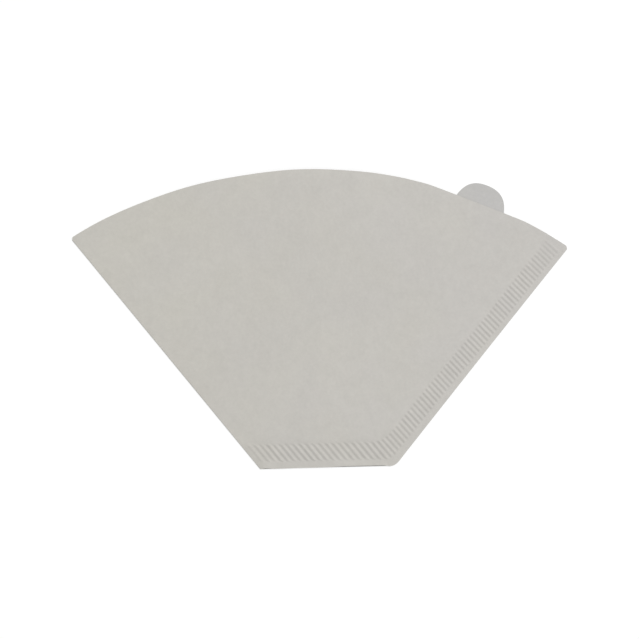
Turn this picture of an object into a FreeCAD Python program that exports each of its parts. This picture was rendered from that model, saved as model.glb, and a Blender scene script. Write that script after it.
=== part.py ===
import FreeCAD, Part
import math
import os

from FreeCAD import Vector

# Paper coffee filter of the No. 4 cone size, lying flat as it comes out of its pack.
# One sheet of filter paper is folded over at its left edge. Its two layers are crimped
# together, with no glue, along the bottom and the right-hand seam. The mouth is the arc
# at the far side, where the front layer stands a little off the back one, and a round
# pull tab stands out from the back layer.
#
# +X runs across the filter from the fold to the seam, +Y from the bottom to the mouth
# and +Z up. The filter is drawn with the lower end of the fold at zero, and moved at the
# end so that the origin is in the middle of its box, on the surface that it lies on.
# Lengths are in millimetres and angles in degrees.

# Outline
bottom_length = 49.0          # bottom edge, from the fold to the seam edge's own line
fold_length = 108.5           # folded edge, from the bottom to the mouth
fold_lean_angle = 38.06       # folded edge, from the upright
seam_length = 101.5           # seam edge, from the bottom to the mouth
seam_lean_angle = 39.75       # seam edge, from the upright
mouth_radius = 166.4          # cut edge of the mouth
bottom_corner_radius = 4.8    # corner between the bottom and the seam
mouth_corner_clip = 0.8       # blunt tips at both ends of the mouth

# Pull tab, and the shallow dip of the mouth's edge on both sides of it
tab_radius = 9.55
tab_reach = 6.3               # how far the tab stands out from the mouth's arc
seam_to_tab_length = 35.6     # its axis, along the mouth from the seam
dip_depth = 0.8
dip_length = 37.0

# Paper
paper_thickness = 0.2         # one layer
pocket_gape = 1.2             # how far the front layer bulges at the middle of the mouth
layer_gap = 0.06              # air between the layers where they come out of the crimp
fold_flat = 1.0               # strip beside the fold where the layers lie on each other
front_shortfall = 0.45        # how much shorter the front layer is cut at the lower corner
shortfall_start = 14.0        # where that begins, along the bottom edge from the fold

# Crimp: a band of slanted ridges that runs along the bottom and up the seam
crimp_width = 6.1
bottom_margin = 2.7           # plain paper outside the band, along the bottom
seam_margin_low = 2.7         # the same, beside the seam's lower end
seam_margin_top = 1.8         # the same, beside its upper end
crimp_outer_radius = 3.0      # the band's corner, outer side
crimp_inner_radius = 5.0      # the band's corner, inner side
crimp_to_pocket = 1.0         # plain strip between the band and the open pocket
first_ridge_from_fold = 2.5
last_ridge_to_mouth = 3.2
bottom_pitch = 2.386          # ridge to ridge, along the bottom edge
seam_pitch_low = 1.77         # ridge to ridge, along the seam at its lower end
seam_pitch_top = 1.58         # the same, at its upper end
bottom_slant_angle = 38.5     # bottom ridges, from square to the bottom edge
seam_slant_angle_low = 9.8    # seam ridges, from square to the seam at its lower end
seam_slant_angle_top = 4.4    # the same, at its upper end
ridge_height = 0.25
ridge_crest = 0.25            # flat top of a ridge
valley_width = 0.45           # flat strip between two ridges
ridge_end_slope = 0.5         # run-out at each end of a ridge

RIGHT_ANGLE = 90
# Room that cutting and trimming shapes are given beyond the paper
overrun = 4.0
# Points of the bulged surface across the pocket and along it
POINTS_ACROSS = 13
POINTS_ALONG = 9


def leaning(angle):
    """Unit vector in the plane, turned clockwise from the upright."""
    return Vector(math.sin(math.radians(angle)), math.cos(math.radians(angle)), 0)


def square_to(direction):
    """Unit vector to the left of a direction in the plane."""
    return Vector(-direction.y, direction.x, 0)


fold_foot = Vector(0, 0, 0)
seam_foot = Vector(bottom_length, 0, 0)
fold_direction = leaning(-fold_lean_angle)
seam_direction = leaning(seam_lean_angle)
into_paper_from_fold = -square_to(fold_direction)
into_paper_from_seam = square_to(seam_direction)
fold_top = fold_foot + fold_direction * fold_length
seam_top = seam_foot + seam_direction * seam_length


def centre_of_mouth():
    """Centre of the mouth's arc, which passes through both upper corners."""
    chord = seam_top - fold_top
    height = math.sqrt(mouth_radius ** 2 - (chord.Length / 2) ** 2)
    upright = square_to(Vector(chord).normalize())
    return (fold_top + seam_top) * 0.5 - upright * height


mouth_centre = centre_of_mouth()


def mouth_angle(point):
    """Angle of a point about the mouth's centre, in radians from +X."""
    return math.atan2(point.y - mouth_centre.y, point.x - mouth_centre.x)


def mouth_point(angle, radius=mouth_radius):
    return mouth_centre + Vector(math.cos(angle), math.sin(angle), 0) * radius


seam_angle = mouth_angle(seam_top)
fold_angle = mouth_angle(fold_top)
tab_angle = seam_angle + seam_to_tab_length / mouth_radius


def meet_mouth(start, direction, radius):
    """Point where a line going up meets a circle about the mouth's centre."""
    offset = start - mouth_centre
    along = offset.dot(direction)
    reach = math.sqrt(along ** 2 - offset.dot(offset) + radius ** 2) - along
    return start + direction * reach


def meet(start, direction, other_start, other_direction):
    """Point where two lines in the plane meet."""
    normal = square_to(other_direction)
    reach = (other_start - start).dot(normal) / direction.dot(normal)
    return start + direction * reach


def line(start, end):
    return Part.makeLine(start, end)


def arc(start, middle, end):
    return Part.Arc(start, middle, end).toShape()


def rounded(before, corner, after, radius):
    """Start, middle and end of the arc that rounds a corner."""
    back = (before - corner).normalize()
    on = (after - corner).normalize()
    half = back.getAngle(on) / 2
    bisector = (back + on).normalize()
    setback = radius / math.tan(half)
    centre_distance = radius / math.sin(half)
    middle = corner + bisector * (centre_distance - radius)
    return corner + back * setback, middle, corner + on * setback


def upright_prism(edges, bottom, top):
    """Solid between two heights over a closed outline in the plane."""
    face = Part.Face(Part.Wire(edges))
    face.translate(Vector(0, 0, bottom))
    return face.extrude(Vector(0, 0, top - bottom))


def mouth_edges():
    """Mouth from the seam to the fold, with blunt tips and the dip around the tab."""
    clip = mouth_corner_clip / mouth_radius
    dip = dip_length / 2 / mouth_radius
    starts = [seam_angle + clip, tab_angle - dip, tab_angle + dip, fold_angle - clip]
    points = [mouth_point(angle) for angle in starts]
    before_tab = mouth_point((starts[0] + starts[1]) / 2)
    at_tab = mouth_point(tab_angle, mouth_radius - dip_depth)
    after_tab = mouth_point((starts[2] + starts[3]) / 2)
    return [
        arc(points[0], before_tab, points[1]),
        arc(points[1], at_tab, points[2]),
        arc(points[2], after_tab, points[3]),
    ]


def outline_edges():
    """Outline of the paper, which runs out past the fold so that the fold stays round."""
    far_left = fold_foot - Vector(overrun, 0, 0)
    corner = rounded(far_left, seam_foot, seam_top, bottom_corner_radius)
    mouth = mouth_edges()
    seam_end = seam_top - seam_direction * mouth_corner_clip
    mouth_start = mouth[0].Vertexes[0].Point
    mouth_end = mouth[-1].Vertexes[-1].Point
    fold_clip = fold_top - fold_direction * mouth_corner_clip
    past_fold = fold_clip + (fold_clip - mouth_end).normalize() * overrun
    return [
        line(far_left, corner[0]),
        arc(*corner),
        line(corner[2], seam_end),
        line(seam_end, mouth_start),
        *mouth,
        line(mouth_end, past_fold),
        line(past_fold, far_left),
    ]


def folded_layers():
    """Two flat layers with their round fold, before the outline is cut."""
    thickness = paper_thickness
    lowest = min(0, seam_foot.dot(fold_direction)) - overrun
    highest = fold_length + overrun
    reach = seam_top.dot(into_paper_from_fold) + overrun
    start = fold_direction * lowest
    bend = into_paper_from_fold * thickness
    far = into_paper_from_fold * reach
    up = Vector(0, 0, thickness)
    under = [start + bend, start + far]
    over = [start + far + up * 2, start + bend + up * 2]
    section = [
        line(under[0], under[1]),
        line(under[1], over[0]),
        line(over[0], over[1]),
        arc(over[1], start + up, under[0]),
    ]
    return Part.Face(Part.Wire(section)).extrude(fold_direction * (highest - lowest))


def tab():
    """Round pull tab of the back layer."""
    centre = mouth_point(tab_angle, mouth_radius + tab_reach - tab_radius)
    return Part.makeCylinder(tab_radius, paper_thickness, centre)


def seam_margin(along):
    """Plain paper beside the seam's band, at a distance up the seam."""
    return seam_margin_low + (seam_margin_top - seam_margin_low) * along / seam_length


def seam_line(depth):
    """Start and direction of a line along the seam's band, by its depth into it."""
    low = seam_foot + into_paper_from_seam * (seam_margin(0) + depth)
    top = seam_top + into_paper_from_seam * (seam_margin(seam_length) + depth)
    return low, (top - low).normalize()


def bottom_line(depth):
    """Start and direction of a line along the bottom's band, by its depth into it."""
    start = Vector(0, bottom_margin + depth, 0)
    return start, Vector(1, 0, 0)


def pocket_surface(height):
    """Bulged surface over the open pocket, from the crimp to beyond the mouth."""
    depth = crimp_width + crimp_to_pocket
    floor_start, floor_direction = bottom_line(depth)
    left_start = into_paper_from_fold * fold_flat
    right_start, right_direction = seam_line(depth)
    low_left = meet(floor_start, floor_direction, left_start, fold_direction)
    low_right = meet(floor_start, floor_direction, right_start, right_direction)
    far_radius = mouth_radius + overrun
    left_angle = mouth_angle(meet_mouth(low_left, fold_direction, far_radius))
    right_angle = mouth_angle(meet_mouth(low_right, right_direction, far_radius))
    rows = []
    for i in range(POINTS_ACROSS):
        across = i / (POINTS_ACROSS - 1)
        low = low_left + (low_right - low_left) * across
        far = mouth_point(left_angle + (right_angle - left_angle) * across, far_radius)
        row = []
        for j in range(POINTS_ALONG):
            along = j / (POINTS_ALONG - 1)
            lift = pocket_gape * math.sin(math.pi * across) * along
            row.append(low + (far - low) * along + Vector(0, 0, height + lift))
        rows.append(row)
    surface = Part.BSplineSurface()
    surface.interpolate(rows)
    return surface.toShape()


def under_surface(height, floor):
    """Solid under the bulged surface, down to a level floor."""
    depth = height + pocket_gape + overrun
    below = pocket_surface(height).extrude(Vector(0, 0, -depth))
    size = 2 * (fold_length + bottom_length + seam_length)
    block = Part.makeBox(size, size, depth, Vector(-size / 2, -size / 2, floor))
    return below.common(block)


def front_trim():
    """What the front layer lacks outside its own cut edge, at the bottom and its corner."""
    start = Vector(shortfall_start, 0, 0)
    short_of_foot = seam_foot + Vector(0, front_shortfall, 0)
    corner = rounded(start, short_of_foot, seam_top, bottom_corner_radius)
    outside = Vector(0, -overrun, 0)
    far_right = seam_foot + Vector(overrun, 0, 0) + outside
    seam_side = corner[2] - into_paper_from_seam * overrun
    edges = [
        line(start, corner[0]),
        arc(*corner),
        line(corner[2], seam_side),
        line(seam_side, far_right),
        line(far_right, start + outside),
        line(start + outside, start),
    ]
    return upright_prism(edges, paper_thickness, paper_thickness * 3)


def crimp_band():
    """Face of the crimped band, with its rounded corner."""
    left = fold_foot - Vector(fold_length, 0, 0)
    paths = []
    for depth, radius in ((0, crimp_outer_radius), (crimp_width, crimp_inner_radius)):
        floor_start, floor_direction = bottom_line(depth)
        side_start, side_direction = seam_line(depth)
        corner = meet(floor_start, floor_direction, side_start, side_direction)
        start = left + floor_start
        end = side_start + side_direction * (seam_length + overrun)
        paths.append((start, rounded(start, corner, end, radius), end))
    (start, corner, end), (inner_start, inner_corner, inner_end) = paths
    edges = [
        line(start, corner[0]),
        arc(*corner),
        line(corner[2], end),
        line(end, inner_end),
        line(inner_end, inner_corner[2]),
        arc(*reversed(inner_corner)),
        line(inner_corner[0], inner_start),
        line(inner_start, start),
    ]
    return Part.Face(Part.Wire(edges))


def ridge_places():
    """Middle point, direction and pitch of each ridge, from the fold round to the mouth."""
    floor_start, floor_direction = bottom_line(crimp_width / 2)
    side_start, side_direction = seam_line(crimp_width / 2)
    corner = meet(floor_start, floor_direction, side_start, side_direction)
    beside_fold = into_paper_from_fold * first_ridge_from_fold
    first = meet(floor_start, floor_direction, beside_fold, fold_direction)
    places = []
    travel = 0
    while travel < corner.x - first.x:
        point = first + floor_direction * travel
        direction = leaning(-bottom_slant_angle)
        square_pitch = bottom_pitch * math.cos(math.radians(bottom_slant_angle))
        places.append((point, direction, square_pitch))
        travel += bottom_pitch
    share_left = (travel - (corner.x - first.x)) / bottom_pitch
    height = (corner - side_start).dot(side_direction) + share_left * seam_pitch_low
    while height < seam_length - last_ridge_to_mouth:
        share = height / seam_length
        pitch = seam_pitch_low + (seam_pitch_top - seam_pitch_low) * share
        slant = seam_slant_angle_low + (seam_slant_angle_top - seam_slant_angle_low) * share
        point = side_start + side_direction * height
        direction = leaning(seam_lean_angle - RIGHT_ANGLE + slant)
        places.append((point, direction, pitch * math.cos(math.radians(slant))))
        height += pitch
    return places


def ridge(start, end, width, bottom, top):
    """One long ridge with sloped sides and ends, between two heights."""
    length = (end - start).Length
    rise = top - bottom
    form = Part.makeWedge(
        0, 0, -width / 2, -ridge_crest / 2, ridge_end_slope,
        length, rise, width / 2, ridge_crest / 2, length - ridge_end_slope)
    form.rotate(Vector(0, 0, 0), Vector(1, 0, 0), RIGHT_ANGLE)
    heading = math.degrees(math.atan2(end.y - start.y, end.x - start.x))
    form.rotate(Vector(0, 0, 0), Vector(0, 0, 1), heading)
    form.translate(start + Vector(0, 0, bottom))
    return form


def crimp_ridges():
    """Ridges on the upper side, and the grooves under them in the lower side."""
    band = crimp_band()
    root = paper_thickness / 2
    ridges = []
    grooves = []
    for point, direction, pitch in ridge_places():
        reach = direction * (crimp_width * 2)
        across = line(point - reach, point + reach).common(band)
        start, end = [vertex.Point for vertex in across.Vertexes[:2]]
        width = pitch - valley_width
        upper = paper_thickness * 2
        ridges.append(ridge(start, end, width, upper - root, upper + ridge_height))
        grooves.append(ridge(start, end, width, -root, ridge_height))
    return ridges, grooves


def filter_paper():
    """The whole filter as one solid."""
    thickness = paper_thickness
    everything = upright_prism(outline_edges(), -overrun, overrun + pocket_gape)
    flat = folded_layers().common(everything)
    bulge = under_surface(thickness * 2 + layer_gap, thickness * 1.5).common(everything)
    pocket = under_surface(thickness + layer_gap, thickness)
    paper = flat.fuse([bulge, tab()]).cut(pocket)
    paper = paper.cut(front_trim())
    ridges, grooves = crimp_ridges()
    paper = paper.fuse(ridges).cut(grooves)
    return paper.removeSplitter()


def at_origin(shape):
    """The shape with the origin in the middle of its box, on its lowest level."""
    box = shape.optimalBoundingBox(False, False)
    return shape.translated(Vector(-box.Center.x, -box.Center.y, -box.ZMin))


os.makedirs("parts", exist_ok=True)
paper = at_origin(filter_paper())
paper.exportStep("parts/filter_paper.step")
box = paper.optimalBoundingBox(False, False)
print("valid", paper.isValid(), "solids", len(paper.Solids), "faces", len(paper.Faces))
print("size", round(box.XLength, 2), round(box.YLength, 2), round(box.ZLength, 3))
print("volume", round(paper.Volume, 1))
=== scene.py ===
import math

import bpy
import numpy as np
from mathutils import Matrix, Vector, geometry, noise


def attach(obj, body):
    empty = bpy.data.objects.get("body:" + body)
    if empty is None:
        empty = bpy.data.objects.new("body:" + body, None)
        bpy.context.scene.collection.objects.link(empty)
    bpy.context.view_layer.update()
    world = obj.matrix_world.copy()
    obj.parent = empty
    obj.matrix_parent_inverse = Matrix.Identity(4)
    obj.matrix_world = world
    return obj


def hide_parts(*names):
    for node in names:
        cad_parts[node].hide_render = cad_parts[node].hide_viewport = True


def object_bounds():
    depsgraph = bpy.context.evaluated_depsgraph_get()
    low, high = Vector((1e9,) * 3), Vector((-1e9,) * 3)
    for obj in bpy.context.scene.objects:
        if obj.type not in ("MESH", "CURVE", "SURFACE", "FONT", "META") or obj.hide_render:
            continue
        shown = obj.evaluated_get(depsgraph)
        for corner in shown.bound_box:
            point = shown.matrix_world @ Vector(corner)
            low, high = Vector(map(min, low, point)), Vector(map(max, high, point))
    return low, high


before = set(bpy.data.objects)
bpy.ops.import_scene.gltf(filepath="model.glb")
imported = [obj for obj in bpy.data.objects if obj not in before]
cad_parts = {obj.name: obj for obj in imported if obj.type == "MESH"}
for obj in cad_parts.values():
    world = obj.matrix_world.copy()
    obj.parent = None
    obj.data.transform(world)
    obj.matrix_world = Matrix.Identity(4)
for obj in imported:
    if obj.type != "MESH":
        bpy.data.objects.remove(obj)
cad_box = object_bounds()

# Paper coffee filter, lying flat: one sheet folded over at its left edge, with its two
# layers crimped together along the bottom and the right-hand seam, open at the mouth.
#
# Lengths are in millimetres and angles in degrees, up to where a mesh, lamp or camera is
# made, which is in metres. The sheet is drawn with the lower end of its fold at zero.
MM = 0.001

# Sizes of the CAD part
bottom_length = 49.0
fold_length = 108.5
fold_lean_angle = 38.06
seam_length = 101.5
seam_lean_angle = 39.75
mouth_radius = 166.4
bottom_corner_radius = 4.8
mouth_corner_clip = 0.8
tab_radius = 9.55
tab_reach = 6.3
seam_to_tab_length = 35.6
dip_depth = 0.8
dip_length = 37.0
paper_thickness = 0.2
pocket_gape = 1.2
layer_gap = 0.06
fold_flat = 1.0
crimp_width = 6.1
bottom_margin = 2.7
seam_margin_low = 2.7
seam_margin_top = 1.8
crimp_to_pocket = 1.0
first_ridge_from_fold = 2.5
last_ridge_to_mouth = 3.2
bottom_pitch = 2.386
seam_pitch_low = 1.77
seam_pitch_top = 1.58
bottom_slant_angle = 38.5
seam_slant_angle_low = 9.8
seam_slant_angle_top = 4.4
ridge_height = 0.25
overrun = 4.0                 # how far past the mouth the pocket's bulge would grow on

# Finer shape that only the drawn sheet has
crimp_slit = 0.02             # air between the two layers inside the crimp
ridge_run_out = 0.6           # smooth end of a ridge
ridge_tail = 0.2              # share of a ridge that fades slowly on its inner side
ridge_tail_length = 3.0
ridge_strength_bottom = 1.09  # height of the ridges against the CAD part's
ridge_strength_seam = 0.94
ridge_strength_ends = 0.55    # of the first and the last ridge
ridges_fading_in = 1.5
ridges_fading_out = 9.0
ridge_unevenness = 0.3
unevenness_pace = 0.7         # how fast it changes from ridge to ridge
strength_change = 4.0         # ridges over which the bottom's strength passes into the seam's
pressing_and_shade_on_crests = 0.6       # how much a ridge's crest is darkened, against its valleys: the crimp's crushed paper, and painted shade in the valleys
bottom_stray = 0.09           # how far the bottom's middle ridges stray to the fold, in ridges
band_bow = 0.35               # how far the seam's band strays towards its edge
band_bow_middle = 57.0        # where it does, up the seam
band_bow_half = 30.0
crimp_corner_blend = 1.5      # rounds the crimped band where its two sides meet
crimp_corner_growth = 0.4     # how much more it is rounded, for each millimetre of depth
pocket_sharpness = 3          # keeps the pocket's bulge to the middle
gap_run = 6.0                 # how gently the layers part beside the fold
crimp_swell = 0.15            # how far the front layer swells up above the ridges' middle
swell_overlap = 1.1           # how far inside the crimp it sets in
swell_run = 3.3               # how soon it is up
swell_reach = 25.0            # how far from the crimp it has sunk again
swell_from_fold = 9.0         # how gently it sets in beside the fold
mouth_curl = 0.28             # share of its bulge that the pocket loses at the mouth's edge
mouth_curl_run = 4.5          # how far inside the mouth it begins to
cockle_share = 0.05           # how much of the bulge the front layer's slow waves take away
cockle_size = 34.0
seam_hollow = 0.13            # how far the seam's edge bows in between its ends
bottom_rise = 0.08            # the lower edge's step up, on the way to the seam
bottom_rise_start = 4.0
bottom_rise_run = 10.0
corner_trim = 0.2             # how much tighter the corner is than the CAD part's
lip_height = 0.27             # how far the front layer lifts where its edge falls short
lip_run = 2.3
mouth_wave = 0.19             # slow wave of the mouth's edge, on the fold's side of the tab
mouth_wave_length = 107.0
mouth_wave_crest = 76.0       # its crest, along the mouth from the seam
mouth_wave_start = 56.0       # where it sets in
mouth_wave_onset = 10.0
mouth_ripple = 0.08           # shorter ripple on top of the wave, further along
mouth_ripple_length = 38.0
mouth_ripple_crest = 105.0
mouth_ripple_start = 74.0
mouth_tip_rise = 0.1          # how far the mouth's edge comes out towards the seam's tip
mouth_tip_run = 20.0
dip_shift = 1.5               # how far the dip sits towards the fold
dip_growth = 0.15             # how much deeper it is
dip_softness = 0.15           # how gently it sets in, at both ends
tab_trim = 0.05               # how much smaller the tab is than the CAD part's
tab_shoulder = 0.36           # how much the tab's shoulders stand out from its circle
tab_shoulder_angle = 37.5     # where they stand out most, from the tab's axis
tab_shift = 0.17              # how far the tab sits towards the fold
tab_lift = 0.1                # how far the tab's root lies above the floor
tab_lift_length = 0.8         # how soon it comes down, outside the mouth's edge
tab_lift_spread = 25.0        # how soon it comes down inside the pocket and to the sides

# Fineness of the mesh. A row's place is its distance into the crimped band, from the bend of
# the fold, inside the deepest place of the mouth's edge, or outside the mouth on the tab
SAMPLES_PER_RIDGE = 8
CRIMP_ROWS = [
    -0.7, -0.4, -0.2, 0, 0.2, 0.4, 0.8, 1.5, 2.3, 3.05, 3.8, 4.6, 5.3,
    5.7, 5.9, 6.1, 6.3, 6.5, 7.1, 7.9]
FOLD_ROWS = [0.1, 0.6, 1.0, 1.6, 2.6]
MOUTH_ROWS = [0.5, 1.3, 2.2, 3.3, 4.6]
TAB_ROWS = [0.3, 0.7, 1.2, 1.9, 3.0]
EDGE_STEP = 0.7
BOTTOM_STEP = 0.4
FOLD_STEP = 1.1
MOUTH_STEP = 1.2
INNER_STEP = 3.0
INNER_CLEARANCE = 1.2
CORNER_STEPS = 16
TAB_STEPS = 48
BEND_STEPS = 6
SHARP_ANGLE = 50              # edges that are sharper than this aren't shaded smooth

# Rounds after which a search has settled
PHASE_ROUNDS = 4
COLUMN_ROUNDS = 8
CROSSING_ROUNDS = 40

# Look of the paper. Noises are given by the size of their spots, how many finer ones lie in
# them, and their share of the tone's range, and fibres by their heading, length and width
outer_colour = (0.5495, 0.5325, 0.4965)
inner_colour = (0.511, 0.503, 0.482)
tone_range = 0.2              # lightest and darkest paper, against the colour
clouds = [(45, 1, 0.15), (14, 2, 0.13), (3.2, 3, 0.22)]
grain_size = 1.05
grain_detail = 3
grain_share = 0.29
fibre_share = 0.08
long_fibre = (0, 2.2, 0.11)
short_fibre_headings = (27, 58, 96, 131, 158)
short_fibre_length = 1.6
short_fibre_width = 0.09
fibre_start = 0.6             # noise at which a fibre begins to show, and shows fully
fibre_full = 0.75
# Darkening of the crimped band: the crushed paper's own tone, with painted shade that is deeper in
# the ridges' valleys
pressing_and_shade_darkening = 0.04
yellowness = 0.03             # how much blue the yellowest paper lacks
yellowing_reach = 140         # how far from the middle it is reached
patch_size = 22
patch_detail = 1
patch_share = 0.6             # of the patches, in the hue
fibre_relief = 0.6
grain_relief = 0.8
relief_depth = 0.03
relief_strength = 0.5
roughness_low = 0.84
roughness_range = 0.12
gloss = 0.2

# Floor and surroundings
floor_half_side = 3.0         # in metres
floor_level = -0.01
floor_grey = 0.5
floor_glow = 0.54             # lifts the floor to white, as seen
sky_light = 0.6


def leaning(angle):
    """Unit vector in the plane, turned clockwise from the upright."""
    return np.array([math.sin(math.radians(angle)), math.cos(math.radians(angle))])


def square_to(direction):
    """Unit vector to the left of a direction in the plane."""
    return np.array([-direction[1], direction[0]])


def unit(vector):
    return vector / np.linalg.norm(vector)


def cross(one, other):
    """Cross product in the plane, of single vectors or of rows of them."""
    return one[..., 0] * other[..., 1] - one[..., 1] * other[..., 0]


def meet(start, direction, other_start, other_direction):
    """Point where two lines in the plane meet."""
    reach = cross(other_start - start, other_direction) / cross(direction, other_direction)
    return start + direction * reach


def smooth(share):
    """Smooth step from 0 to 1."""
    share = np.clip(share, 0, 1)
    return share * share * (3 - 2 * share)


# Where the front layer's lower edge falls short of the back layer's: each stretch's start,
# the ends of its full part, its end, and by how much
front_shortfalls = [
    (0.4, 1.4, 3.0, 5.0, 0.25),
    (24.0, 31.0, 44.8, 46.6, 0.32)]

# Lines of the outline
fold_foot = np.array([0.0, 0.0])
seam_foot = np.array([bottom_length, 0.0])
bottom_direction = np.array([1.0, 0.0])
fold_direction = leaning(-fold_lean_angle)
seam_direction = leaning(seam_lean_angle)
into_from_fold = -square_to(fold_direction)
into_from_seam = square_to(seam_direction)
fold_top = fold_foot + fold_direction * fold_length
seam_top = seam_foot + seam_direction * seam_length
mouth_chord = seam_top - fold_top
mouth_rise = math.sqrt(mouth_radius ** 2 - (np.linalg.norm(mouth_chord) / 2) ** 2)
mouth_centre = (fold_top + seam_top) / 2 - square_to(unit(mouth_chord)) * mouth_rise


def mouth_angle(point):
    """Angle of a point about the mouth's centre, in radians from +X."""
    return math.atan2(*(point - mouth_centre)[::-1])


def around(centre, radius, angle):
    return centre + np.array([math.cos(angle), math.sin(angle)]) * radius


seam_angle = mouth_angle(seam_top)
fold_angle = mouth_angle(fold_top)
tab_angle = seam_angle + seam_to_tab_length / mouth_radius
tab_centre = around(mouth_centre, mouth_radius + tab_reach - tab_radius,
                    tab_angle + tab_shift / mouth_radius)
lowest_mouth = mouth_radius - dip_depth - dip_growth
tab_root = around(mouth_centre, mouth_radius - dip_depth, tab_angle)

# Lines of the crimped band: its outer side and its middle, along the bottom and the seam
crimp_middle = crimp_width / 2
seam_band_low = seam_foot + into_from_seam * seam_margin_low
seam_band_top = seam_top + into_from_seam * seam_margin_top
seam_band_direction = unit(seam_band_top - seam_band_low)
into_from_band = square_to(seam_band_direction)
bottom_middle = np.array([0.0, bottom_margin + crimp_middle])
seam_middle = seam_band_low + into_from_seam * crimp_middle
first_ridge = meet(bottom_middle, bottom_direction,
                   into_from_fold * first_ridge_from_fold, fold_direction)
middle_corner = meet(bottom_middle, bottom_direction, seam_middle, seam_band_direction)
corner_climb = (middle_corner - seam_middle) @ seam_band_direction
corner_count = (middle_corner - first_ridge)[0] / bottom_pitch
pitch_growth = (seam_pitch_top - seam_pitch_low) / seam_length


def seam_count(climb):
    """Ridges passed on the way up the seam, where their pitch shrinks evenly."""
    return np.log(1 + climb * pitch_growth / seam_pitch_low) / pitch_growth


def seam_climb(count):
    """Way up the seam at which a number of ridges has been passed."""
    return (np.exp(count * pitch_growth) - 1) * seam_pitch_low / pitch_growth


def seam_ridge_heading(climb):
    """Direction of the seam's ridges at a distance up the seam, away from its edge."""
    share = climb / seam_length
    slant = seam_slant_angle_low + (seam_slant_angle_top - seam_slant_angle_low) * share
    turn = np.radians(seam_lean_angle + slant)
    return np.stack([-np.cos(turn), np.sin(turn)], axis=-1)


last_climb = seam_length - last_ridge_to_mouth
last_ridge = math.floor(corner_count + seam_count(last_climb) - seam_count(corner_climb))


def from_fold(points):
    return points @ into_from_fold


def clear_of_bend(points, run):
    """Smooth step from 0 at the fold's bend to 1 where a run away from it ends."""
    return smooth((from_fold(points) - paper_thickness) / run)


def past_border(depth):
    """Smooth step from 0 to 1 across a border of the crimped band, at which depth is zero."""
    return smooth(depth / ridge_run_out + 0.5)


def bottom_depth(points):
    """Distance into the bottom's crimp, from its outer side."""
    return points[..., 1] - bottom_margin


def seam_depth(points):
    """Distance into the seam's crimp, from its outer side, which strays a little."""
    offset = points - seam_band_low
    past_middle = offset @ seam_band_direction - band_bow_middle
    near_middle = np.clip(past_middle / band_bow_half, -1, 1)
    return offset @ into_from_band + band_bow * np.cos(near_middle * math.pi / 2) ** 2


def crimp_depth(points):
    """Distance into the crimped band, rounded where its two sides meet."""
    low = bottom_depth(points)
    side = seam_depth(points)
    nearer = np.minimum(low, side)
    blend = crimp_corner_blend + crimp_corner_growth * np.clip(nearer, 0, crimp_width)
    overlap = np.maximum(blend - abs(low - side), 0)
    return nearer - overlap ** 2 / (4 * blend)


def inside_mouth(points, radius=mouth_radius):
    """Distance inside the mouth's arc, or inside one of another radius."""
    return radius - np.linalg.norm(points - mouth_centre, axis=-1)


def stray(count):
    """How far a ridge of the bottom strays towards the fold, in ridges."""
    return bottom_stray * np.sin(math.pi * count / corner_count) ** 2


def ridge_phase(points):
    """Ridges between the first one and a point, counted along the band's middle."""
    offset = points - first_ridge
    lean = math.tan(math.radians(bottom_slant_angle))
    on_bottom = (offset[..., 0] + offset[..., 1] * lean) / bottom_pitch
    on_bottom = on_bottom + stray(on_bottom)
    offset = points - seam_middle
    climb = offset @ seam_band_direction
    for _ in range(PHASE_ROUNDS):
        heading = seam_ridge_heading(climb)
        climb = cross(offset, heading) / cross(seam_band_direction, heading)
    on_seam = corner_count + seam_count(climb) - seam_count(corner_climb)
    share = np.clip(on_bottom - corner_count + 0.5, 0, 1)
    return on_bottom * (1 - share) + on_seam * share


def ridge_strength(phase):
    """Height of each ridge against the CAD part's: uneven, and less at both ends of the row."""
    past_corner = smooth((phase - corner_count) / strength_change + 0.5)
    strength = ridge_strength_bottom + (ridge_strength_seam - ridge_strength_bottom) * past_corner
    fade = smooth(phase / ridges_fading_in) * smooth((last_ridge - phase) / ridges_fading_out)
    strength *= ridge_strength_ends + (1 - ridge_strength_ends) * fade
    uneven = [noise.noise(Vector((count, 0.5, 0.5)) * unevenness_pace)
              for count in np.round(phase)]
    return strength * (1 + ridge_unevenness * np.array(uneven))


def pressing_and_shade_share(points):
    """How much the crimped band is darkened, from 0 on the open sheet to 1 in the crimp's valleys:
    the crushed paper's tone, and painted shade in the valleys.
    """
    depth = crimp_depth(points)
    phase = ridge_phase(points)
    inside = past_border(depth) * past_border(crimp_width - depth)
    along = smooth(phase + 1) * smooth(last_ridge + 1 - phase)
    # Painted shade: the valleys are darkened more than the crests
    valley = 0.5 - 0.5 * np.cos(2 * math.pi * phase)
    return inside * along * (pressing_and_shade_on_crests + (1 - pressing_and_shade_on_crests) * valley)


def crimp_height(points):
    """Height of the crimp's ridges above the flat sheet."""
    depth = crimp_depth(points)
    phase = ridge_phase(points)
    wave = 0.5 + 0.5 * np.cos(2 * math.pi * phase)
    past_end = depth - crimp_width
    inner_end = past_border(-past_end) * (1 - ridge_tail)
    inner_end += smooth(0.5 - past_end / ridge_tail_length) * ridge_tail
    counted = (phase > -0.5) & (phase < last_ridge + 0.5)
    wave *= past_border(depth) * inner_end * counted
    return ridge_height * wave * ridge_strength(phase)


def margin_height(points):
    """Height of the margin outside the crimp, which meets its ridges halfway up."""
    depth = crimp_depth(points)
    climb = np.clip(1 + depth / bottom_margin, 0, 1) * past_border(-depth)
    climb *= clear_of_bend(points, first_ridge_from_fold)
    climb *= smooth(inside_mouth(points) / last_ridge_to_mouth)
    return ridge_height / 2 * climb


def edge_shortfall(across):
    """How far the front layer's lower edge falls short, at places along the bottom."""
    return sum(
        amount * smooth((across - start) / (full - start)) * smooth((end - across) / (end - last))
        for start, full, last, end, amount in front_shortfalls)


def lip(points):
    """Lift of the front layer along its lower edge, where it falls short."""
    share = edge_shortfall(points[:, 0]) / max(amount for *_, amount in front_shortfalls)
    return lip_height * share * smooth((bottom_margin - points[:, 1]) / lip_run)


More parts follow.
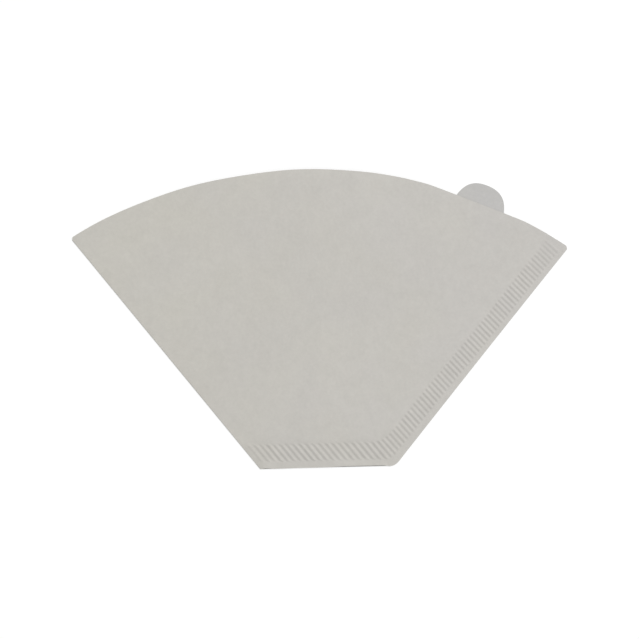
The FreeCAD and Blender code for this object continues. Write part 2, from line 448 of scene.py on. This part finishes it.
def tab_root_height(points):
    """Height of the back layer above the floor, at the root of the tab."""
    outside = np.maximum(-inside_mouth(points, mouth_radius - dip_depth), 0)
    from_root = np.linalg.norm(points - tab_root, axis=1)
    return tab_lift * np.exp(-outside / tab_lift_length) * smooth(1 - from_root / tab_lift_spread)


def swell_height(points):
    """How far the front layer swells up beside the crimp's inner side."""
    inside = crimp_depth(points) - crimp_width
    level = ridge_height / 2 * past_border(inside)
    level += crimp_swell * smooth((inside + swell_overlap) / swell_run)
    return level * smooth(1 - inside / swell_reach) * clear_of_bend(points, swell_from_fold)


def pocket_height(points):
    """Air between the layers in the open pocket, which grows towards the mouth."""
    tiny = 1e-9
    border = crimp_width + crimp_to_pocket
    left = np.maximum(from_fold(points) - fold_flat, 0)
    right = np.maximum(seam_depth(points) - border, 0)
    below = np.maximum(bottom_depth(points) - border, 0)
    above = np.maximum(inside_mouth(points, mouth_radius + overrun), 0)
    across = left / (left + right + tiny)
    along = below / (below + above + tiny)
    bulge = pocket_gape * np.sin(math.pi * across) ** pocket_sharpness * along
    edge = np.clip(1 - inside_mouth(points) / mouth_curl_run, 0, 1)
    bulge *= 1 - mouth_curl * edge ** 2
    cockle = [0.5 + 0.5 * noise.noise(Vector((x, y, 0)) / cockle_size) for x, y in points]
    out_of_crimp = smooth((crimp_depth(points) - crimp_width) / crimp_to_pocket)
    gap = layer_gap * clear_of_bend(points, gap_run) * out_of_crimp
    return gap + swell_height(points) + bulge * (1 - cockle_share * np.array(cockle))


def steps(start, end, gap):
    """Evenly spaced points from a start up to the end, without the end itself."""
    count = max(1, round(np.linalg.norm(end - start) / gap))
    return [start + (end - start) * i / count for i in range(count)]


def corner_arc(before, corner, after, radius):
    """Points of the arc that rounds a corner, counter-clockwise."""
    back = unit(before - corner)
    on = unit(after - corner)
    half = math.acos(back @ on) / 2
    centre = corner + unit(back + on) * radius / math.sin(half)
    start = corner + back * radius / math.tan(half) - centre
    first = math.atan2(start[1], start[0])
    turn = math.pi - 2 * half
    return [around(centre, radius, first + turn * i / CORNER_STEPS)
            for i in range(CORNER_STEPS + 1)]


def mouth_edge(angle):
    """Point of the mouth's cut edge, which dips beside the tab and waves slowly."""
    away = ((angle - tab_angle) * mouth_radius - dip_shift) / (dip_length / 2)
    within = 1 - away ** 2
    share = (within + math.hypot(within, dip_softness)) / 2
    dip = (dip_depth + dip_growth) * share
    along = (angle - seam_angle) * mouth_radius
    wave = 0
    for height, length, crest, start in (
            (mouth_wave, mouth_wave_length, mouth_wave_crest, mouth_wave_start),
            (mouth_ripple, mouth_ripple_length, mouth_ripple_crest, mouth_ripple_start)):
        turns = (along - crest) / length
        wave += height * math.cos(2 * math.pi * turns) * smooth((along - start) / mouth_wave_onset)
    tip = mouth_tip_rise * smooth(1 - along / mouth_tip_run)
    return around(mouth_centre, mouth_radius - dip + wave + tip, angle)


def tab_edge(angle):
    """Point of the tab's edge, whose shoulders stand out a little from a circle."""
    from_axis = (angle - tab_angle + math.pi) % (2 * math.pi) - math.pi
    share = math.sin(from_axis * 90 / tab_shoulder_angle) ** 2
    beyond = abs(from_axis) > math.radians(2 * tab_shoulder_angle)
    radius = tab_radius - tab_trim + tab_shoulder * share * (not beyond)
    return around(tab_centre, radius, angle)


def tab_crossing(outside, inside):
    """Angle at which the mouth's edge goes into the tab's outline."""
    for _ in range(CROSSING_ROUNDS):
        middle = (outside + inside) / 2
        point = mouth_edge(middle) - tab_centre
        rim = tab_edge(math.atan2(point[1], point[0])) - tab_centre
        if np.linalg.norm(point) > np.linalg.norm(rim):
            outside = middle
        else:
            inside = middle
    return inside


def mouth_run(first, last):
    """Points of the mouth's edge between two angles, both included."""
    count = round((last - first) * mouth_radius / EDGE_STEP)
    return [mouth_edge(first + (last - first) * i / count) for i in range(count + 1)]


def tab_run(first, last):
    """Points round the tab, between the ends of the mouth's edge beside it."""
    start, end = [mouth_edge(angle) - tab_centre for angle in (first, last)]
    start_angle = math.atan2(start[1], start[0])
    turn = (math.atan2(end[1], end[0]) - start_angle) % (2 * math.pi)
    return [tab_edge(start_angle + turn * i / TAB_STEPS) for i in range(1, TAB_STEPS)]


clip_angle = mouth_corner_clip / mouth_radius
mouth_start = seam_angle + clip_angle
mouth_end = fold_angle - clip_angle

# Both ends of the fold: on its outer line, and on the line where its bend begins
fold_clip = fold_top - fold_direction * mouth_corner_clip
bend_line = into_from_fold * paper_thickness
bend_foot = meet(bend_line, fold_direction, fold_foot, bottom_direction)
bend_clip = meet(bend_line, fold_direction, fold_clip, mouth_edge(mouth_end) - fold_clip)
fold_count = round(fold_length / FOLD_STEP)


def seam_run(start, end):
    """Points up the seam's edge, which bows in a little between its ends."""
    run = steps(start, end, EDGE_STEP)
    shares = np.arange(len(run)) / len(run)
    bow = seam_hollow * (1 - (2 * shares - 1) ** 2)
    return [point + into_from_seam * inward for point, inward in zip(run, bow)]


def bottom_run(end, is_front):
    """Points along the lower edge of one layer, from the fold up to the corner's arc."""
    across = np.linspace(bend_foot[0], end, round((end - bend_foot[0]) / BOTTOM_STEP))[:-1]
    height = bottom_rise * smooth((across - bottom_rise_start) / bottom_rise_run)
    if is_front:
        height += edge_shortfall(across)
    return list(np.column_stack([across, height]))


def layer_outline(is_front):
    """Closed outline of one layer, counter-clockwise, up to the bend of the fold."""
    outward = -into_from_seam * seam_hollow
    rise = np.array([0, bottom_rise])
    foot = seam_foot + outward + rise
    corner = corner_arc(fold_foot + rise, foot, seam_top + outward,
                        bottom_corner_radius - corner_trim)
    seam_end = seam_top - seam_direction * mouth_corner_clip + outward
    outline = bottom_run(corner[0][0], is_front)
    outline += corner[:-1]
    outline += seam_run(corner[-1], seam_end)
    outline += steps(seam_end, mouth_edge(mouth_start), EDGE_STEP)
    if is_front:
        outline += mouth_run(mouth_start, mouth_end)
    else:
        reach = 2 * tab_radius / mouth_radius
        tab_start = tab_crossing(tab_angle - reach, tab_angle)
        tab_end = tab_crossing(tab_angle + reach, tab_angle)
        outline += mouth_run(mouth_start, tab_start)
        outline += tab_run(tab_start, tab_end)
        outline += mouth_run(tab_end, mouth_end)
    outline += [bend_clip + (bend_foot - bend_clip) * i / fold_count for i in range(fold_count)]
    return outline


def crimp_columns():
    """Columns of points along each ridge and between ridges, at fixed depths of the band."""
    columns = []
    for i in range(SAMPLES_PER_RIDGE * (last_ridge + 1) + 1):
        phase = i / SAMPLES_PER_RIDGE - 0.5
        if phase < corner_count:
            middle = first_ridge + bottom_direction * (phase - stray(phase)) * bottom_pitch
            heading = leaning(-bottom_slant_angle)
        else:
            climb = seam_climb(phase - corner_count + seam_count(corner_climb))
            middle = seam_middle + seam_band_direction * climb
            heading = seam_ridge_heading(climb)
        column = []
        for depth in CRIMP_ROWS:
            point = middle
            for _ in range(COLUMN_ROUNDS):
                point = point + heading * (depth - crimp_depth(point))
            column.append(point)
        columns.append(column)
    return columns


def fold_points():
    """Rows of points beside the fold, above the crimp."""
    points = []
    for row in FOLD_ROWS:
        start = into_from_fold * (paper_thickness + row)
        for i in range(1, fold_count):
            points.append(start + fold_direction * (fold_length * i / fold_count))
    points = np.array(points)
    clear = crimp_depth(points) > CRIMP_ROWS[-1] + INNER_CLEARANCE / 2
    clear &= inside_mouth(points) > INNER_CLEARANCE
    return list(points[clear])


def mouth_points():
    """Rows of points along the mouth, inside its edge."""
    points = []
    count = round((fold_angle - seam_angle) * mouth_radius / MOUTH_STEP)
    for row in MOUTH_ROWS:
        for angle in np.linspace(seam_angle, fold_angle, count):
            points.append(around(mouth_centre, lowest_mouth - row, angle))
    points = np.array(points)
    clear = crimp_depth(points) > CRIMP_ROWS[-1] + INNER_CLEARANCE / 2
    clear &= from_fold(points) > FOLD_ROWS[-1] + INNER_CLEARANCE
    return list(points[clear])


def tab_points():
    """Rows of points across the tab, outside the front layer's edge."""
    points = []
    for row in TAB_ROWS:
        radius = mouth_radius - dip_depth + row
        for i in range(-TAB_STEPS // 2, TAB_STEPS // 2 + 1):
            angle = tab_angle + i * EDGE_STEP / mouth_radius
            points.append(around(mouth_centre, radius, angle))
    points = np.array(points)
    from_centre = np.linalg.norm(points - tab_centre, axis=1)
    return list(points[from_centre < tab_radius - EDGE_STEP / 2])


def inner_points(is_front):
    """Even points over the rest of one layer, and the rows across the back layer's tab."""
    points = []
    low = np.array([fold_top[0], 0.0])
    high = np.array([seam_top[0], mouth_centre[1] + mouth_radius + tab_reach])
    row_step = INNER_STEP * math.sqrt(3) / 2
    for j in range(math.ceil((high - low)[1] / row_step)):
        for i in range(math.ceil((high - low)[0] / INNER_STEP)):
            shift = 0.5 * (j % 2)
            points.append(low + np.array([(i + shift) * INNER_STEP, j * row_step]))
    points = np.array(points)
    clear = from_fold(points) > FOLD_ROWS[-1] + INNER_CLEARANCE
    clear &= crimp_depth(points) > CRIMP_ROWS[-1] + INNER_CLEARANCE
    in_sheet = inside_mouth(points, lowest_mouth) > MOUTH_ROWS[-1] + INNER_CLEARANCE
    if is_front:
        return list(points[clear & in_sheet])
    from_tab = np.linalg.norm(points - tab_centre, axis=1)
    in_sheet |= from_tab < tab_radius - INNER_CLEARANCE
    past_edge = -inside_mouth(points, mouth_radius - dip_depth)
    near_edge = past_edge > -MOUTH_ROWS[-1] - INNER_CLEARANCE
    near_edge &= past_edge < TAB_ROWS[-1] + INNER_CLEARANCE
    return list(points[clear & in_sheet & ~near_edge]) + tab_points()


def triangulated(outline, columns, loose):
    """Plan points and triangles of one layer, with the columns of the crimp kept as edges."""
    inside_only = 1
    tolerance = 1e-6
    given = list(outline)
    edges = [(i, (i + 1) % len(outline)) for i in range(len(outline))]
    for column in columns:
        first = len(given)
        edges += [(first + i, first + i + 1) for i in range(len(column) - 1)]
        given += column
    given = [Vector(point) for point in given + loose]
    plan, _, faces, *_ = geometry.delaunay_2d_cdt(given, edges, [], inside_only, tolerance)
    plan = np.array([point[:] for point in plan])
    faces = np.array([face[:] for face in faces])
    a, b, c = (plan[faces[:, i]] for i in range(3))
    turned_over = cross(b - a, c - a) < 0
    faces[turned_over] = faces[turned_over][:, ::-1]
    return plan, faces


def rim_edges(faces):
    """Edges that only one triangle has, in that triangle's direction."""
    directed = {(int(f[i]), int(f[(i + 1) % 3])) for f in faces for i in range(3)}
    return sorted(edge for edge in directed if edge[::-1] not in directed)


def fold_vertices(plan, faces):
    """Vertices of one layer on the line where the bend begins, from the foot up."""
    close = 0.001
    on_rim = {i for edge in rim_edges(faces) for i in edge}
    on_bend = [i for i in on_rim if abs(from_fold(plan[i]) - paper_thickness) < close]
    return sorted(on_bend, key=lambda i: plan[i] @ fold_direction)


def flat_layer(is_front, columns):
    """One layer seen in plan: its points, its triangles, and its vertices along the bend."""
    loose = fold_points() + mouth_points() + inner_points(is_front)
    plan, faces = triangulated(layer_outline(is_front), columns, loose)
    return plan, faces, fold_vertices(plan, faces)


def wall(faces, fold, under, over):
    """Faces up the cut edge of one layer, all round it but for its fold."""
    fold = set(fold)
    return [(a + under, b + under, b + over, a + over)
            for a, b in rim_edges(faces) if not (a in fold and b in fold)]


def strip(low, high):
    """Faces between two rows of as many vertices."""
    return [(low[i + 1], low[i], high[i], high[i + 1]) for i in range(len(low) - 1)]


def bend_vertices(bend_start):
    """Rows of vertices round the outside of the bend, from the underside to the top."""
    shares = np.linspace(0, 1, len(bend_start))[:, None]
    outer_line = fold_foot + (fold_clip - fold_foot) * shares
    rows = []
    for step in range(1, BEND_STEPS):
        turn = math.pi * step / BEND_STEPS
        plan = bend_start + (outer_line - bend_start) * math.sin(turn)
        level = paper_thickness * (1 - math.cos(turn))
        rows.append(np.column_stack([plan, np.full(len(plan), level)]))
    return rows


def sheet_mesh():
    """The folded sheet as one closed mesh: vertices in millimetres, faces, inner faces."""
    columns = crimp_columns()
    back, back_faces, back_fold = flat_layer(False, columns)
    front, front_faces, front_fold = flat_layer(True, columns)
    sheet = paper_thickness - crimp_slit / 2
    back_height = crimp_height(back) + margin_height(back) + tab_root_height(back)
    front_height = crimp_height(front) + margin_height(front) + pocket_height(front) + lip(front)
    front_height += paper_thickness + crimp_slit / 2
    levels = [(back, back_height), (back, back_height + sheet),
              (front, front_height), (front, front_height + sheet)]
    vertices = [np.column_stack(level) for level in levels]
    back_under, back_over, front_under, front_over, bend = np.cumsum(
        [0] + [len(part) for part in vertices])
    vertices += bend_vertices(back[back_fold])

    faces = [tuple(f[::-1] + back_under) for f in back_faces]
    faces += [tuple(f + front_over) for f in front_faces]
    inner = [tuple(f + back_over) for f in back_faces]
    inner += [tuple(f[::-1] + front_under) for f in front_faces]
    faces += wall(back_faces, back_fold, back_under, back_over)
    faces += wall(front_faces, front_fold, front_under, front_over)

    # The fold: rows of vertices round its outside and its inside, and a face at either end
    outside = [[i + back_under for i in back_fold]]
    for _ in range(1, BEND_STEPS):
        outside.append([bend + i for i in range(len(back_fold))])
        bend += len(back_fold)
    outside.append([i + front_over for i in front_fold])
    inside = [[i + front_under for i in front_fold], [i + back_over for i in back_fold]]
    for low, high in zip(outside, outside[1:]):
        faces += strip(low, high)
    inner += strip(*inside)
    rows = outside + inside
    faces.append(tuple(row[0] for row in rows[::-1]))
    faces.append(tuple(row[-1] for row in rows))
    return np.vstack(vertices), faces, inner


def filter_sheet(outer_paper, inner_paper):
    """The whole filter, placed where the CAD part is."""
    vertices, faces, inner = sheet_mesh()
    left_tip = fold_clip[0]
    place = np.array([cad_box[0].x - left_tip * MM, cad_box[0].y, 0])
    corners = (vertices * MM + place).tolist()
    mesh = bpy.data.meshes.new("filter_sheet")
    mesh.from_pydata(corners, [], [tuple(map(int, f)) for f in faces + inner])
    mesh.materials.append(outer_paper)
    mesh.materials.append(inner_paper)
    which = [0] * len(faces) + [1] * len(inner)
    mesh.polygons.foreach_set("material_index", which)
    # Darkening of the crimped band for the material: crushed paper, and painted shade in the
    # ridges' valleys
    pressing_and_shade = mesh.attributes.new("pressing_and_shade", "FLOAT", "POINT")
    pressing_and_shade.data.foreach_set("value", pressing_and_shade_share(vertices[:, :2]))
    mesh.shade_smooth()
    mesh.set_sharp_from_angle(angle=math.radians(SHARP_ANGLE))
    mesh.validate()
    piece = bpy.data.objects.new("filter_sheet", mesh)
    bpy.context.scene.collection.objects.link(piece)
    return piece


class Nodes:
    """Short way to add linked nodes to one material."""

    def __init__(self, material):
        self.tree = material.node_tree
        self.place = self.tree.nodes.new("ShaderNodeTexCoord").outputs["Object"]

    def put(self, value, socket):
        """Link an output to a socket, or write a plain value there."""
        if isinstance(value, bpy.types.NodeSocket):
            self.tree.links.new(value, socket)
        else:
            socket.default_value = value

    def math(self, operation, *values):
        node = self.tree.nodes.new("ShaderNodeMath")
        node.operation = operation
        for value, socket in zip(values, node.inputs):
            self.put(value, socket)
        return node.outputs[0]

    def ramp(self, value, low, high):
        """Value from 0 at low to 1 at high, held outside."""
        node = self.tree.nodes.new("ShaderNodeMapRange")
        self.put(value, node.inputs["Value"])
        self.put(low, node.inputs["From Min"])
        self.put(high, node.inputs["From Max"])
        return node.outputs[0]

    def noise(self, size, detail, place=None):
        """Soft noise from 0 to 1, whose spots have a size in millimetres."""
        node = self.tree.nodes.new("ShaderNodeTexNoise")
        self.put(place or self.place, node.inputs["Vector"])
        node.inputs["Scale"].default_value = 1 / (size * MM)
        node.inputs["Detail"].default_value = detail
        return node.outputs["Fac"]

    def fibres(self, heading, length, width):
        """Thin streaks from 0 to 1, along a heading in degrees.

        Each heading is drawn at its own height in the noise, so that no two look the same.
        """
        turned = self.tree.nodes.new("ShaderNodeMapping")
        turned.vector_type = "TEXTURE"
        turned.inputs["Rotation"].default_value = (0, 0, math.radians(heading))
        turned.inputs["Scale"].default_value = (length / width, 1, 1)
        turned.inputs["Location"].default_value = (0, 0, heading * MM)
        self.put(self.place, turned.inputs["Vector"])
        streaks = self.noise(width, 1, turned.outputs["Vector"])
        return self.ramp(streaks, fibre_start, fibre_full)

    def mix(self, share, first, second):
        """Blend of two colours, which have their own sockets on the node."""
        first_socket, second_socket, result_socket = 6, 7, 2
        node = self.tree.nodes.new("ShaderNodeMix")
        node.data_type = "RGBA"
        self.put(share, node.inputs["Factor"])
        self.put(first, node.inputs[first_socket])
        self.put(second, node.inputs[second_socket])
        return node.outputs[result_socket]


def shade(colour, amount, lost_blue):
    """Colour made lighter or darker, and yellower or bluer, as RGBA."""
    red, green, blue = colour
    return (red * amount, green * amount, blue * amount * (1 - lost_blue), 1)


def paper_material(name, colour):
    """Pale filter paper: cloudy formation, short fibres, a crimp darkened by its crushed paper and
    by painted shade in its valleys, and a soft matt relief.
    """
    material = bpy.data.materials.new(name)
    material.use_nodes = True
    nodes = Nodes(material)
    shader = material.node_tree.nodes["Principled BSDF"]

    # Fibres lie every way, and the longest of them across the filter
    web = nodes.fibres(*long_fibre)
    for heading in short_fibre_headings:
        streaks = nodes.fibres(heading, short_fibre_length, short_fibre_width)
        web = nodes.math("MAXIMUM", web, streaks)
    grains = nodes.noise(grain_size, grain_detail)

    # Tone: 0.5 is the paper's own, and each part moves it by its share of the range
    parts = [(nodes.noise(size, detail), share) for size, detail, share in clouds]
    tone = 0.5
    for texture, share in parts + [(grains, grain_share)]:
        centred = nodes.math("SUBTRACT", texture, 0.5)
        tone = nodes.math("MULTIPLY_ADD", centred, share, tone)
    tone = nodes.math("MULTIPLY_ADD", web, fibre_share, tone)
    # The crimped band is darker: the crushed paper's tone, and painted shade deeper in its valleys
    pressing_and_shade = material.node_tree.nodes.new("ShaderNodeAttribute")
    pressing_and_shade.attribute_name = "pressing_and_shade"
    darkening = -pressing_and_shade_darkening / (2 * tone_range)
    tone = nodes.math("MULTIPLY_ADD", pressing_and_shade.outputs["Fac"], darkening, tone)

    # Hue: a little yellower towards the fold, with soft patches
    across = material.node_tree.nodes.new("ShaderNodeSeparateXYZ")
    nodes.put(nodes.place, across.inputs[0])
    drift = nodes.ramp(across.outputs["X"], yellowing_reach * MM, -yellowing_reach * MM)
    patches = nodes.math("SUBTRACT", nodes.noise(patch_size, patch_detail), 0.5)
    hue = nodes.math("MULTIPLY_ADD", patches, patch_share, drift)
    dark = nodes.mix(hue, shade(colour, 1 - tone_range, -yellowness),
                     shade(colour, 1 - tone_range, yellowness))
    light = nodes.mix(hue, shade(colour, 1 + tone_range, -yellowness),
                      shade(colour, 1 + tone_range, yellowness))
    nodes.put(nodes.mix(tone, dark, light), shader.inputs["Base Color"])

    # Relief: fibres stand out of a fine grain
    relief = nodes.math("MULTIPLY", grains, grain_relief)
    relief = nodes.math("MULTIPLY_ADD", web, fibre_relief, relief)
    bump = material.node_tree.nodes.new("ShaderNodeBump")
    bump.inputs["Distance"].default_value = relief_depth * MM
    bump.inputs["Strength"].default_value = relief_strength
    nodes.put(relief, bump.inputs["Height"])
    nodes.put(bump.outputs["Normal"], shader.inputs["Normal"])
    roughness = nodes.math("MULTIPLY_ADD", grains, roughness_range, roughness_low)
    nodes.put(roughness, shader.inputs["Roughness"])
    shader.inputs["Specular IOR Level"].default_value = gloss
    return material


def seen_strength(tree, as_light, as_seen):
    """Strength that differs for what is seen directly, in a mirror or through glass."""
    path = tree.nodes.new("ShaderNodeLightPath")
    total = path.outputs["Is Camera Ray"]
    for kind in ("Is Glossy Ray", "Is Transmission Ray"):
        either = tree.nodes.new("ShaderNodeMath")
        either.operation = "MAXIMUM"
        tree.links.new(total, either.inputs[0])
        tree.links.new(path.outputs[kind], either.inputs[1])
        total = either.outputs[0]
    strength = tree.nodes.new("ShaderNodeMapRange")
    tree.links.new(total, strength.inputs["Value"])
    strength.inputs["To Min"].default_value = as_light
    strength.inputs["To Max"].default_value = as_seen
    return strength.outputs[0]


def floor_material():
    """White floor that keeps the shadow: it glows a little for the camera alone."""
    material = bpy.data.materials.new("floor")
    material.use_nodes = True
    tree = material.node_tree
    tree.nodes.clear()
    diffuse = tree.nodes.new("ShaderNodeBsdfDiffuse")
    diffuse.inputs["Color"].default_value = (floor_grey, floor_grey, floor_grey, 1)
    glow = tree.nodes.new("ShaderNodeEmission")
    both = tree.nodes.new("ShaderNodeAddShader")
    output = tree.nodes.new("ShaderNodeOutputMaterial")
    link = tree.links.new
    link(seen_strength(tree, 0, floor_glow), glow.inputs["Strength"])
    link(diffuse.outputs[0], both.inputs[0])
    link(glow.outputs[0], both.inputs[1])
    link(both.outputs[0], output.inputs["Surface"])
    return material


def add_floor():
    mesh = bpy.data.meshes.new("floor")
    corners = [(x * floor_half_side, y * floor_half_side, floor_level * MM)
               for x, y in ((-1, -1), (1, -1), (1, 1), (-1, 1))]
    mesh.from_pydata(corners, [], [(0, 1, 2, 3)])
    mesh.materials.append(floor_material())
    floor = bpy.data.objects.new("floor", mesh)
    bpy.context.scene.collection.objects.link(floor)


def add_world():
    """Even light from all round, and white behind everything."""
    world = bpy.data.worlds.new("studio")
    world.use_nodes = True
    background = world.node_tree.nodes["Background"]
    background.inputs["Color"].default_value = (1, 1, 1, 1)
    strength = seen_strength(world.node_tree, sky_light, 1)
    world.node_tree.links.new(strength, background.inputs["Strength"])
    bpy.context.scene.world = world


def add_lamp(name, heading, elevation, distance, size, power):
    """Square soft lamp in metres and watts, aimed at the middle of the filter.

    Its heading is counted from +X, and both angles are in degrees.
    """
    light = bpy.data.lights.new(name, "AREA")
    light.size = size
    light.energy = power
    lamp = bpy.data.objects.new(name, light)
    turn, rise = math.radians(heading), math.radians(elevation)
    level = math.cos(rise)
    towards = Vector((math.cos(turn) * level, math.sin(turn) * level, math.sin(rise)))
    lamp.location = towards * distance
    lamp.rotation_euler = towards.to_track_quat("Z", "Y").to_euler()
    bpy.context.scene.collection.objects.link(lamp)


def add_camera():
    """Camera straight above, turned a little against the filter as in the photograph."""
    millimetres_per_pixel = 0.364
    image_width = 639
    turn_angle = -1.353
    aim = Vector((-0.6357, -0.3688)) * MM
    lens = 100
    sensor = 36
    camera_data = bpy.data.cameras.new("camera")
    camera_data.lens = lens
    camera_data.sensor_width = sensor
    camera = bpy.data.objects.new("camera", camera_data)
    height = image_width * millimetres_per_pixel * MM * lens / sensor
    camera.location = (aim.x, aim.y, height)
    camera.rotation_euler = (0, 0, math.radians(turn_angle))
    bpy.context.scene.collection.objects.link(camera)
    bpy.context.scene.camera = camera


add_camera()
piece = filter_sheet(
    paper_material("paper_outer", outer_colour),
    paper_material("paper_inner", inner_colour))
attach(piece, "root")
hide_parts("filter_paper")
add_floor()
add_world()
add_lamp("key", heading=42, elevation=50, distance=3.0, size=1.64, power=50.6)
bpy.context.scene.view_settings.view_transform = "Standard"
